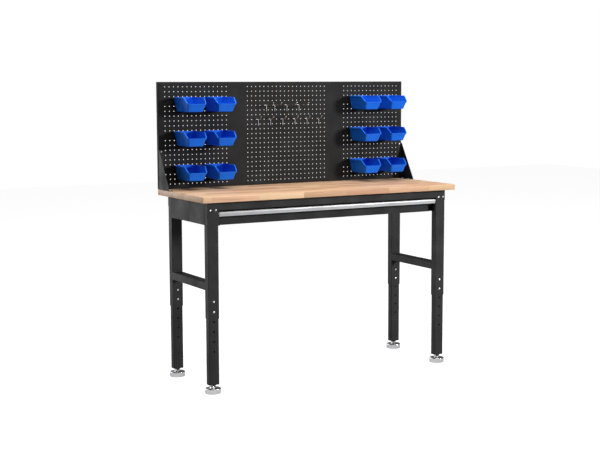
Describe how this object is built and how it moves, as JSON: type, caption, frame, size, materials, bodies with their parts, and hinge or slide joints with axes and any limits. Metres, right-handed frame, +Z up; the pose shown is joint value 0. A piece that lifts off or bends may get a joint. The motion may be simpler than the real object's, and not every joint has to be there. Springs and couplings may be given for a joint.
{
  "type": "workbench",
  "caption": "Workbench with a wooden top, steel telescopic legs on levelling feet, a full-width drawer, and a perforated back board with hanging bins and hooks.",
  "frame": {"origin": "on the floor under the middle of the worktop", "axes": "+Z up, +Y to the back board, +X to the right of someone who stands at the bench"},
  "size_m": [1.524, 0.55, 1.555],
  "materials": {
    "worktop_wood": "satin lacquered laminated hardwood",
    "frame_paint": "dark grey powder coat",
    "board_paint": "dark grey powder coat",
    "drawer_paint": "dark grey powder coat",
    "bin_plastic": "blue moulded plastic, satin",
    "hook_steel": "zinc plated wire",
    "hanger_steel": "dark powder coat",
    "handle_aluminium": "satin anodised extrusion",
    "runner_steel": "black coated steel",
    "fastener_steel": "zinc plated steel",
    "foot_chrome": "bright chrome plate"
  },
  "bodies": {
    "bench": {"worktop": "worktop_wood", "upper_leg_front_left": "frame_paint", "upper_leg_rear_left": "frame_paint", "upper_leg_front_right": "frame_paint", "upper_leg_rear_right": "frame_paint", "leg_bolts": "fastener_steel", "crossbar_left": "frame_paint", "crossbar_right": "frame_paint", "side_plate_left": "frame_paint", "side_plate_right": "frame_paint", "front_rail": "frame_paint", "rear_rail": "frame_paint", "rail_bolts": "fastener_steel", "worktop_screws": "fastener_steel", "pegboard": "board_paint", "board_bracket_left": "frame_paint", "board_bracket_right": "frame_paint", "board_screws": "fastener_steel", "bin_hangers": "hanger_steel", "runner_outer_left": "runner_steel", "runner_outer_right": "runner_steel", "hook_1": "hook_steel", "hook_2": "hook_steel", "hook_3": "hook_steel", "hook_4": "hook_steel", "hook_5": "hook_steel", "hook_6": "hook_steel", "hook_7": "hook_steel", "hook_8": "hook_steel", "hook_9": "hook_steel", "hook_10": "hook_steel"},
    "drawer": {"drawer_tray": "drawer_paint", "drawer_front": "drawer_paint", "drawer_handle": "handle_aluminium", "runner_inner_left": "runner_steel", "runner_inner_right": "runner_steel"},
    "middle_runner_left": {"runner_middle_left": "runner_steel"},
    "middle_runner_right": {"runner_middle_right": "runner_steel"},
    "leg_front_left": {"lower_leg_front_left": "frame_paint"},
    "foot_front_left": {"levelling_foot_front_left": "foot_chrome"},
    "leg_rear_left": {"lower_leg_rear_left": "frame_paint"},
    "foot_rear_left": {"levelling_foot_rear_left": "foot_chrome"},
    "leg_front_right": {"lower_leg_front_right": "frame_paint"},
    "foot_front_right": {"levelling_foot_front_right": "foot_chrome"},
    "leg_rear_right": {"lower_leg_rear_right": "frame_paint"},
    "foot_rear_right": {"levelling_foot_rear_right": "foot_chrome"},
    "bin_top_left_outer": {"bin_top_left_outer": "bin_plastic"},
    "bin_top_left_inner": {"bin_top_left_inner": "bin_plastic"},
    "bin_top_right_inner": {"bin_top_right_inner": "bin_plastic"},
    "bin_top_right_outer": {"bin_top_right_outer": "bin_plastic"},
    "bin_middle_left_outer": {"bin_middle_left_outer": "bin_plastic"},
    "bin_middle_left_inner": {"bin_middle_left_inner": "bin_plastic"},
    "bin_middle_right_inner": {"bin_middle_right_inner": "bin_plastic"},
    "bin_middle_right_outer": {"bin_middle_right_outer": "bin_plastic"},
    "bin_bottom_left_outer": {"bin_bottom_left_outer": "bin_plastic"},
    "bin_bottom_left_inner": {"bin_bottom_left_inner": "bin_plastic"},
    "bin_bottom_right_inner": {"bin_bottom_right_inner": "bin_plastic"},
    "bin_bottom_right_outer": {"bin_bottom_right_outer": "bin_plastic"}
  },
  "joints": [
    {"name": "drawer_slide", "type": "slide", "parent": "bench", "child": "drawer", "axis": [0, -1, 0], "range_m": [0, 0.4]},
    {"name": "middle_runner_slide_left", "type": "slide", "parent": "bench", "child": "middle_runner_left", "axis": [0, -1, 0], "range_m": [0, 0.2]},
    {"name": "middle_runner_slide_right", "type": "slide", "parent": "bench", "child": "middle_runner_right", "axis": [0, -1, 0], "range_m": [0, 0.2]},
    {"name": "leg_height_front_left", "type": "slide", "parent": "bench", "child": "leg_front_left", "axis": [0, 0, 1], "range_m": [-0.1016, 0.2032]},
    {"name": "foot_level_front_left", "type": "slide", "parent": "leg_front_left", "child": "foot_front_left", "axis": [0, 0, 1], "range_m": [-0.02, 0.005]},
    {"name": "leg_height_rear_left", "type": "slide", "parent": "bench", "child": "leg_rear_left", "axis": [0, 0, 1], "range_m": [-0.1016, 0.2032]},
    {"name": "foot_level_rear_left", "type": "slide", "parent": "leg_rear_left", "child": "foot_rear_left", "axis": [0, 0, 1], "range_m": [-0.02, 0.005]},
    {"name": "leg_height_front_right", "type": "slide", "parent": "bench", "child": "leg_front_right", "axis": [0, 0, 1], "range_m": [-0.1016, 0.2032]},
    {"name": "foot_level_front_right", "type": "slide", "parent": "leg_front_right", "child": "foot_front_right", "axis": [0, 0, 1], "range_m": [-0.02, 0.005]},
    {"name": "leg_height_rear_right", "type": "slide", "parent": "bench", "child": "leg_rear_right", "axis": [0, 0, 1], "range_m": [-0.1016, 0.2032]},
    {"name": "foot_level_rear_right", "type": "slide", "parent": "leg_rear_right", "child": "foot_rear_right", "axis": [0, 0, 1], "range_m": [-0.02, 0.005]},
    {"name": "bin_top_left_outer_lift", "type": "slide", "parent": "bench", "child": "bin_top_left_outer", "axis": [0, 0, 1], "range_m": [0, 0.06]},
    {"name": "bin_top_left_inner_lift", "type": "slide", "parent": "bench", "child": "bin_top_left_inner", "axis": [0, 0, 1], "range_m": [0, 0.06]},
    {"name": "bin_top_right_inner_lift", "type": "slide", "parent": "bench", "child": "bin_top_right_inner", "axis": [0, 0, 1], "range_m": [0, 0.06]},
    {"name": "bin_top_right_outer_lift", "type": "slide", "parent": "bench", "child": "bin_top_right_outer", "axis": [0, 0, 1], "range_m": [0, 0.06]},
    {"name": "bin_middle_left_outer_lift", "type": "slide", "parent": "bench", "child": "bin_middle_left_outer", "axis": [0, 0, 1], "range_m": [0, 0.06]},
    {"name": "bin_middle_left_inner_lift", "type": "slide", "parent": "bench", "child": "bin_middle_left_inner", "axis": [0, 0, 1], "range_m": [0, 0.06]},
    {"name": "bin_middle_right_inner_lift", "type": "slide", "parent": "bench", "child": "bin_middle_right_inner", "axis": [0, 0, 1], "range_m": [0, 0.06]},
    {"name": "bin_middle_right_outer_lift", "type": "slide", "parent": "bench", "child": "bin_middle_right_outer", "axis": [0, 0, 1], "range_m": [0, 0.06]},
    {"name": "bin_bottom_left_outer_lift", "type": "slide", "parent": "bench", "child": "bin_bottom_left_outer", "axis": [0, 0, 1], "range_m": [0, 0.06]},
    {"name": "bin_bottom_left_inner_lift", "type": "slide", "parent": "bench", "child": "bin_bottom_left_inner", "axis": [0, 0, 1], "range_m": [0, 0.06]},
    {"name": "bin_bottom_right_inner_lift", "type": "slide", "parent": "bench", "child": "bin_bottom_right_inner", "axis": [0, 0, 1], "range_m": [0, 0.06]},
    {"name": "bin_bottom_right_outer_lift", "type": "slide", "parent": "bench", "child": "bin_bottom_right_outer", "axis": [0, 0, 1], "range_m": [0, 0.06]}
  ],
  "couplings": [
    {"joint": "middle_runner_slide_left", "follows": "drawer_slide", "ratio": 0.5},
    {"joint": "middle_runner_slide_right", "follows": "drawer_slide", "ratio": 0.5}
  ]
}
